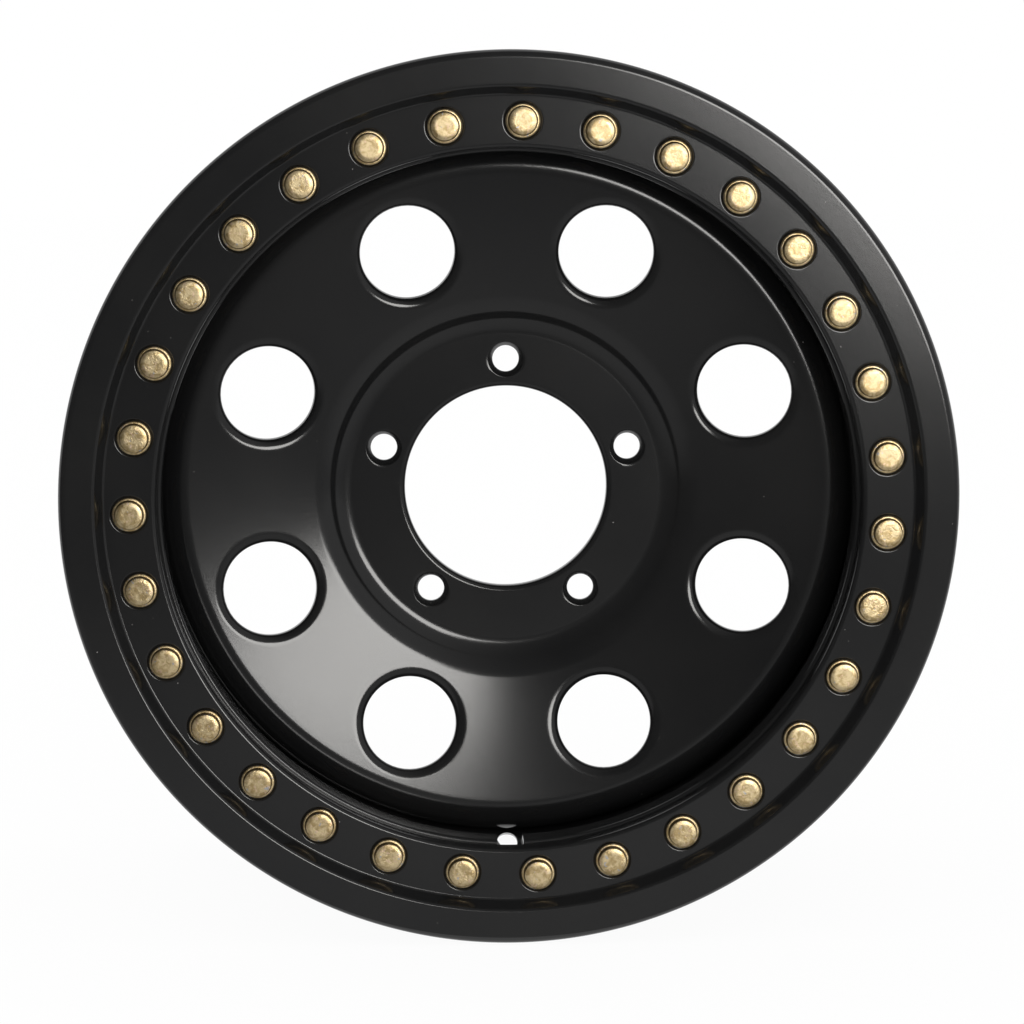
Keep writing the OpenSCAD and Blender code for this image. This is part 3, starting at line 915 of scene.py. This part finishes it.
CAMERA_RAY, GLOSSY_RAY = 0, 3
BLACK, WHITE, CLEAN_PAINT, WORN_PAINT = (0.0,) * 3, (1.0,) * 3, (0.95,) * 3, (0.85,) * 3
span, lowest = 9000, cad_box[0].z / MM
glow_share, mottle_scale, mottle_share = 0.95, 40, 0.04
ground = Shell()
ground.grid([[(-span, -span, lowest), (span, -span, lowest)],
             [(-span, span, lowest), (span, span, lowest)]], wrap=False)
floor = ground.piece("studio_floor")
white = Finish("white_floor")
mottle = white.noise(white.node("ShaderNodeTexCoord", out=OBJECT_SPACE), mottle_scale, 3)
paint = white.node("ShaderNodeBsdfPrincipled", {}, {
    "Base Color": (mottle * mottle_share).mix(CLEAN_PAINT, WORN_PAINT),
    "Roughness": 1.0, "Specular IOR Level": 0.0})
glow = white.node("ShaderNodeEmission", {}, {"Color": WHITE, "Strength": 1.0})
seen = white.node("ShaderNodeLightPath", out=CAMERA_RAY)
shone = white.node("ShaderNodeLightPath", out=GLOSSY_RAY)
share = white.node("ShaderNodeMath", {"operation": "MAXIMUM"}, {0: seen, 1: shone}) * glow_share
floor.data.materials.append(
    white.show(white.node("ShaderNodeMixShader", {}, {0: share, 1: paint, 2: glow})))

# %% [markdown]
# ## Dark tent
#
# The tent is a long open box. Its mouth stands just before the wheel's face and
# its cloth is darkest straight ahead of the wheel, so the face stays black and
# the rims turned to the right pick up a little grey. Only reflections see it:
# it hides nothing from the camera and takes no light from the floor.

# %% Dark tent
gap_before, far_end, half, above_floor = 8, -6500, 3000, 0.6
mouth, bottom = -front_h - gap_before, lowest + above_floor
dark_cloth, grey_cloth = (0.07,) * 3, (0.5,) * 3
tent = Shell()
around = [(-half, bottom), (half, bottom), (half, half), (-half, half)]
tent.grid([[(x, mouth, z) for x, z in around], [(x, far_end, z) for x, z in around]])
tent.cap([(x, far_end, z) for x, z in around])
dark_tent = tent.piece("dark_tent")
dark = Finish("dark_tent_cloth")
place_in_tent = dark.node("ShaderNodeTexCoord", out=OBJECT_SPACE)
across_tent = dark.node("ShaderNodeSeparateXYZ", {}, {0: place_in_tent})
from_wheel = dark.node("ShaderNodeVectorMath", {"operation": "LENGTH"}, {0: place_in_tent}, out=1)
near = 1.0 - from_wheel.between(0.3, 1.4)
tone = (across_tent.between(-1.2, 3.2) + near * 0.6).mix(dark_cloth, grey_cloth)
dark_tent.data.materials.append(dark.show(dark.node("ShaderNodeBsdfPrincipled", {}, {
    "Base Color": BLACK, "Roughness": 1.0, "Specular IOR Level": 0.0,
    "Emission Color": tone, "Emission Strength": 1.0})))
dark_tent.visible_camera = False
dark_tent.visible_diffuse = False
dark_tent.visible_shadow = False

# %% [markdown]
# ## Camera and lamp
#
# The camera's place was solved from the circles in the photograph: where their
# centres lie and how much each is flattened. It looks at the middle of the
# wheel's face from a little above. The lamp is turned by an eighth of a turn,
# so that one straight side of it makes the straight end of the bright patch.

# %% Camera
distance, elevation, azimuth = 1.5, math.radians(8.3215), math.radians(-2.4569)
above, sensor, focal_px, picture_px = 0.00265, 36, 2886.75, 1024
front_centre = Vector((0, -front_h * MM, 0))
back = Vector((math.sin(azimuth) * math.cos(elevation),
               -math.cos(azimuth) * math.cos(elevation), math.sin(elevation)))
right = Vector((math.cos(azimuth), math.sin(azimuth), 0))
up = back.cross(right)
lens = bpy.data.cameras.new("camera")
lens.sensor_width, lens.lens = sensor, sensor * focal_px / picture_px
lens.clip_start, lens.clip_end = 0.05, 50
camera = bpy.data.objects.new("camera", lens)
camera.location = front_centre + back * distance - up * above
camera.rotation_mode = "QUATERNION"
camera.rotation_quaternion = (-back).to_track_quat("-Z", "Y")
bpy.context.scene.collection.objects.link(camera)
bpy.context.scene.camera = camera
print("camera at", [round(x, 4) for x in camera.location], "lens", round(lens.lens, 2))


# %% Soft lamp
def soft_lamp(name, toward, far, width, height, radiance, roll, colour):
    """A rectangular lamp seen from the wheel's face in a direction, with a given radiance."""
    data = bpy.data.lights.new(name, "AREA")
    data.shape = "RECTANGLE"
    data.size, data.size_y = width, height
    data.energy = radiance * math.pi * width * height
    data.color = colour
    lamp = bpy.data.objects.new(name, data)
    aim = Vector(toward).normalized()
    lamp.location = front_centre + aim * far
    lamp.rotation_mode = "QUATERNION"
    lamp.rotation_quaternion = (-aim).to_track_quat("-Z", "Y") @ Quaternion((0, 0, 1), roll)
    lamp.visible_camera = False
    bpy.context.scene.collection.objects.link(lamp)
    print(name, "at", [round(x, 2) for x in lamp.location], "W", round(data.energy, 1))


soft_lamp("key_softbox", toward=(1.482, -5.0, 0.548), far=5.24, width=1.5, height=2.0,
          radiance=11.0, roll=math.pi / 4, colour=(1.0, 0.985, 0.955))

# %% Colour management and sizes
bpy.context.scene.view_settings.view_transform = "Standard"
print("CAD box   ", [[round(x, 4) for x in v] for v in cad_box])
